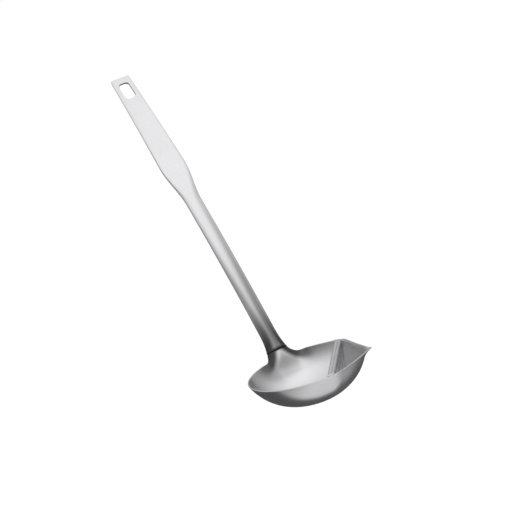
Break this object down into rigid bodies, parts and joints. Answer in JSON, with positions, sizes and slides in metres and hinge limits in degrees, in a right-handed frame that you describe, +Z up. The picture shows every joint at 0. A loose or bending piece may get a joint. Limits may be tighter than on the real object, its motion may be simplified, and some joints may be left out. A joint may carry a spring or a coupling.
{
  "type": "fat-skimming ladle",
  "caption": "Steel ladle with a shallow round bowl, a side pouring spout, a hemmed separator plate that holds back fat, and a long handle whose flat grip ends in a hanging slot.",
  "frame": {"origin": "middle of the flat base under the bowl", "axes": "+Z up, square to the level rim; +Y towards the handle; +X to the side that the spout is on"},
  "size_m": [0.0875, 0.2532, 0.2374],
  "materials": {
    "bowl_steel": "satin",
    "plate_steel": "satin",
    "handle_steel": "satin",
    "dowel_steel": "as drawn"
  },
  "bodies": {
    "root": {"bowl_shell": "bowl_steel", "separator_plate": "plate_steel", "handle_bar": "handle_steel", "joint_dowel": "dowel_steel"}
  },
  "joints": []
}
